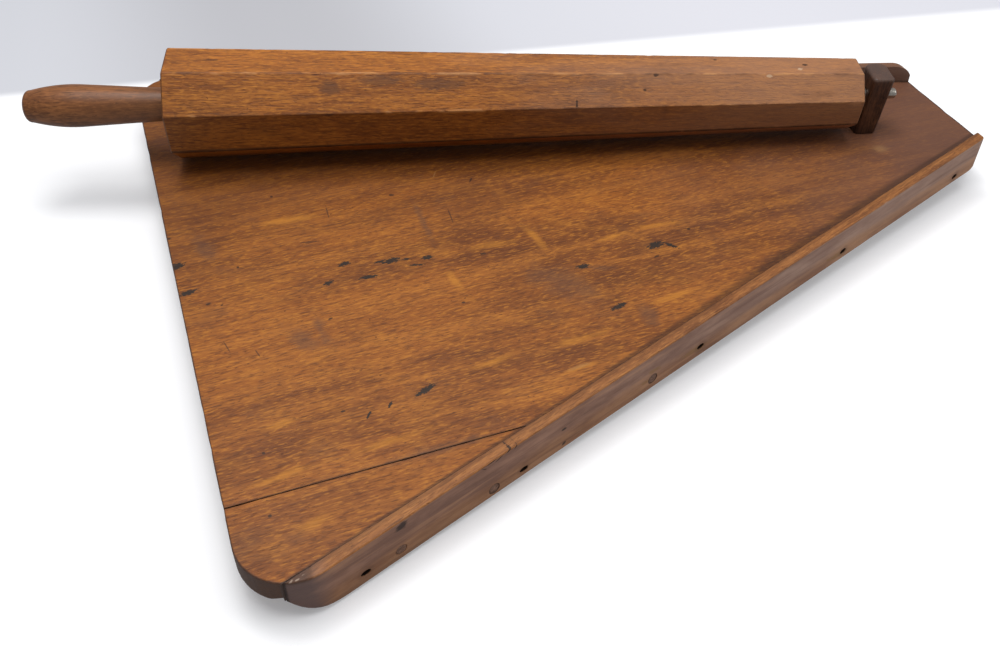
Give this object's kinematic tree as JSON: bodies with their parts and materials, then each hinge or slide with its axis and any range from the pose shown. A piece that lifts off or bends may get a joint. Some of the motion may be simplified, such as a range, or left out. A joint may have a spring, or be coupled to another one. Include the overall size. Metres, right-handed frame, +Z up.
{
  "type": "butter worker",
  "caption": "Table-top butter worker: fan-shaped wooden tray with side rails, and a tapering eight-sided roller with a handle, pinned to a swivelling post at the narrow end.",
  "frame": {"origin": "middle of the wide-end batten's underside, on the surface the part stands on and on the tray's centreline, 85 mm in from the tray's wide end", "axes": "+X along the tray's centreline to the narrow end and its post, +Y to the far side, towards which the roller rests, +Z up"},
  "size_m": [0.8592, 0.6398, 0.1415],
  "materials": {
    "tray_wood": "satin, worn, fine straight grain",
    "rail_wood": "satin, greyed outer face",
    "plug_wood": "satin",
    "bearer_wood": "dry, unvarnished",
    "post_wood": "satin, dark",
    "roller_wood": "satin, worn",
    "handle_wood": "polished by hands",
    "screw_steel": "dull, rust-browned",
    "pin_steel": "worn bright"
  },
  "bodies": {
    "tray": {"main_plank": "tray_wood", "near_corner_plank": "tray_wood", "far_corner_plank": "tray_wood", "near_seam_tongue": "bearer_wood", "far_seam_tongue": "bearer_wood", "near_rail": "rail_wood", "far_rail": "rail_wood", "near_rail_screws": "screw_steel", "far_rail_screws": "screw_steel", "near_rail_plugs": "plug_wood", "far_rail_plugs": "plug_wood", "wide_end_batten": "bearer_wood", "middle_batten": "bearer_wood", "batten_screws": "screw_steel", "foot_block": "bearer_wood", "foot_screws": "screw_steel"},
    "post": {"swivel_post": "post_wood", "post_washer": "screw_steel", "post_screw": "screw_steel"},
    "pin": {"pivot_pin": "pin_steel"},
    "roller": {"roller": "roller_wood", "handle": "handle_wood"}
  },
  "joints": [
    {"name": "post_swivel", "type": "hinge", "parent": "tray", "child": "post", "pos_m": [0.5803, 0.0048, 0.042], "axis": [0, 0, 1], "range_deg": [-6, 37.5]},
    {"name": "roller_lift", "type": "hinge", "parent": "post", "child": "pin", "pos_m": [0.57895, -0.00001, 0.0807], "axis": [0.2706, 0.9627, 0], "range_deg": [0, 12]},
    {"name": "roller_spin", "type": "hinge", "parent": "pin", "child": "roller", "pos_m": [0.57895, -0.00001, 0.0807], "axis": [0.9625, -0.2705, -0.0195], "continuous": true}
  ]
}
